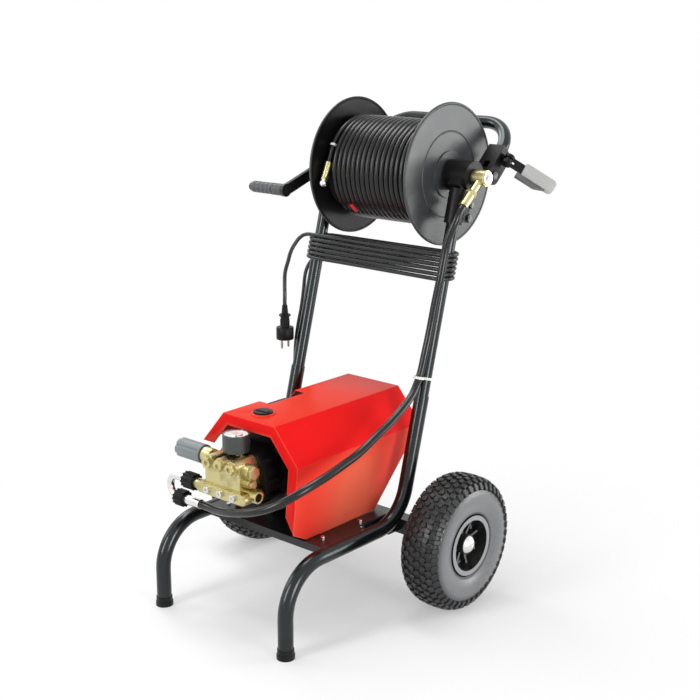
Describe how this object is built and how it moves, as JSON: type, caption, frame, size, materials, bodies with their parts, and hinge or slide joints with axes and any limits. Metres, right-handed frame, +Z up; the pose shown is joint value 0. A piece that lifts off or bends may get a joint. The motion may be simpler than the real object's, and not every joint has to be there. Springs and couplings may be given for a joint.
{
  "type": "drain jetter",
  "caption": "Wheeled drain jetter: an electric pump under a folded red sheet cover on a bent tube cart, with a hose reel, a crank, a folding push handle and a wound mains cable.",
  "frame": {"origin": "on the ground, at the middle of the machine's width and depth", "axes": "+X to the machine's right, +Y to its back where the push handle is, +Z up"},
  "size_m": [0.593, 0.6924, 0.9329],
  "materials": {
    "black_tube": "gloss",
    "black_sheet": "satin",
    "cast_black": "satin",
    "red_cover": "gloss",
    "black_plastic": "matte",
    "bush_plastic": "matte",
    "rubber": "matte",
    "tyre": "matte",
    "rim_plastic": "satin",
    "steel": "satin",
    "nickel": "polished",
    "brass": "satin",
    "reel_grey": "satin",
    "grip_grey": "matte",
    "lever_grey": "matte",
    "lens": "clear",
    "needle_red": "matte"
  },
  "bodies": {
    "cart": {"left_side_tube": "black_tube", "right_side_tube": "black_tube", "left_upright": "black_tube", "right_upright": "black_tube", "foot_caps": "rubber", "platform": "black_sheet", "panel_screws": "steel", "axle_carrier": "black_tube", "axle": "steel", "hub_caps": "nickel", "left_reel_bracket": "cast_black", "right_reel_bracket": "cast_black", "bracket_bolts": "steel", "reel_bushes": "bush_plastic", "swivel_body": "brass", "swivel_elbow": "brass", "feed_hose": "rubber", "hose_tie": "bush_plastic", "outlet_elbow": "nickel", "coupling_nuts": "black_plastic", "cover": "red_cover", "motor_housing": "cast_black", "motor_end_bell": "cast_black", "fan_cowl": "black_plastic", "terminal_box": "black_plastic", "cable_gland": "black_plastic", "switch_body": "black_plastic", "pump_crankcase": "cast_black", "pump_head": "brass", "valve_plugs": "brass", "head_bolts": "steel", "unloader_body": "brass", "gauge_case": "black_plastic", "gauge_lens": "lens", "cable_lead": "rubber", "cable_hank": "rubber", "cable_tail": "rubber", "mains_plug": "black_plastic"},
    "left_wheel": {"left_tyre": "tyre", "left_rim": "rim_plastic"},
    "right_wheel": {"right_tyre": "tyre", "right_rim": "rim_plastic"},
    "reel": {"reel_drum": "reel_grey", "reel_flanges": "reel_grey", "reel_axle": "steel", "hose_core": "rubber", "hose_winding": "rubber", "hose_nozzle": "brass", "crank_arm": "black_sheet"},
    "crank_grip": {"crank_grip": "grip_grey"},
    "handle": {"push_handle": "black_tube", "handle_knuckles": "cast_black", "handle_pivots": "steel"},
    "clamp_lever": {"clamp_lever": "black_plastic", "lever_grip": "lever_grey"},
    "regulator_knob": {"regulator_knob": "grip_grey"},
    "switch_knob": {"switch_knob": "black_plastic"},
    "gauge_needle": {"gauge_needle": "needle_red"},
    "motor_rotor": {"motor_rotor": "steel", "cooling_fan": "black_plastic"}
  },
  "joints": [
    {"name": "left_wheel_spin", "type": "hinge", "parent": "cart", "child": "left_wheel", "pos_m": [-0.254, 0.03726, 0.13], "axis": [1, 0, 0], "continuous": true},
    {"name": "right_wheel_spin", "type": "hinge", "parent": "cart", "child": "right_wheel", "pos_m": [0.254, 0.03726, 0.13], "axis": [1, 0, 0], "continuous": true},
    {"name": "reel_spin", "type": "hinge", "parent": "cart", "child": "reel", "pos_m": [0, 0.17326, 0.797], "axis": [1, 0, 0], "continuous": true},
    {"name": "crank_grip_spin", "type": "hinge", "parent": "reel", "child": "crank_grip", "pos_m": [-0.236, 0.04498, 0.75183], "axis": [1, 0, 0], "continuous": true},
    {"name": "handle_fold", "type": "hinge", "parent": "cart", "child": "handle", "pos_m": [0, 0.23726, 0.794], "axis": [1, 0, 0], "range_deg": [-110, 0]},
    {"name": "clamp_lever_swing", "type": "hinge", "parent": "handle", "child": "clamp_lever", "pos_m": [0.189, 0.26651, 0.82128], "axis": [0, 0.7314, 0.682], "range_deg": [0, 40]},
    {"name": "regulator_turn", "type": "hinge", "parent": "cart", "child": "regulator_knob", "pos_m": [-0.098, -0.30074, 0.317], "axis": [1, 0, 0], "range_deg": [-270, 270]},
    {"name": "switch_turn", "type": "hinge", "parent": "cart", "child": "switch_knob", "pos_m": [-0.006, -0.21074, 0.389], "axis": [0, 0, 1], "range_deg": [0, 90]},
    {"name": "needle_sweep", "type": "hinge", "parent": "cart", "child": "gauge_needle", "pos_m": [0, -0.28574, 0.36], "axis": [0, 0, 1], "range_deg": [-270, 0]},
    {"name": "rotor_spin", "type": "hinge", "parent": "cart", "child": "motor_rotor", "pos_m": [0, -0.10874, 0.285], "axis": [0, 1, 0], "continuous": true}
  ]
}
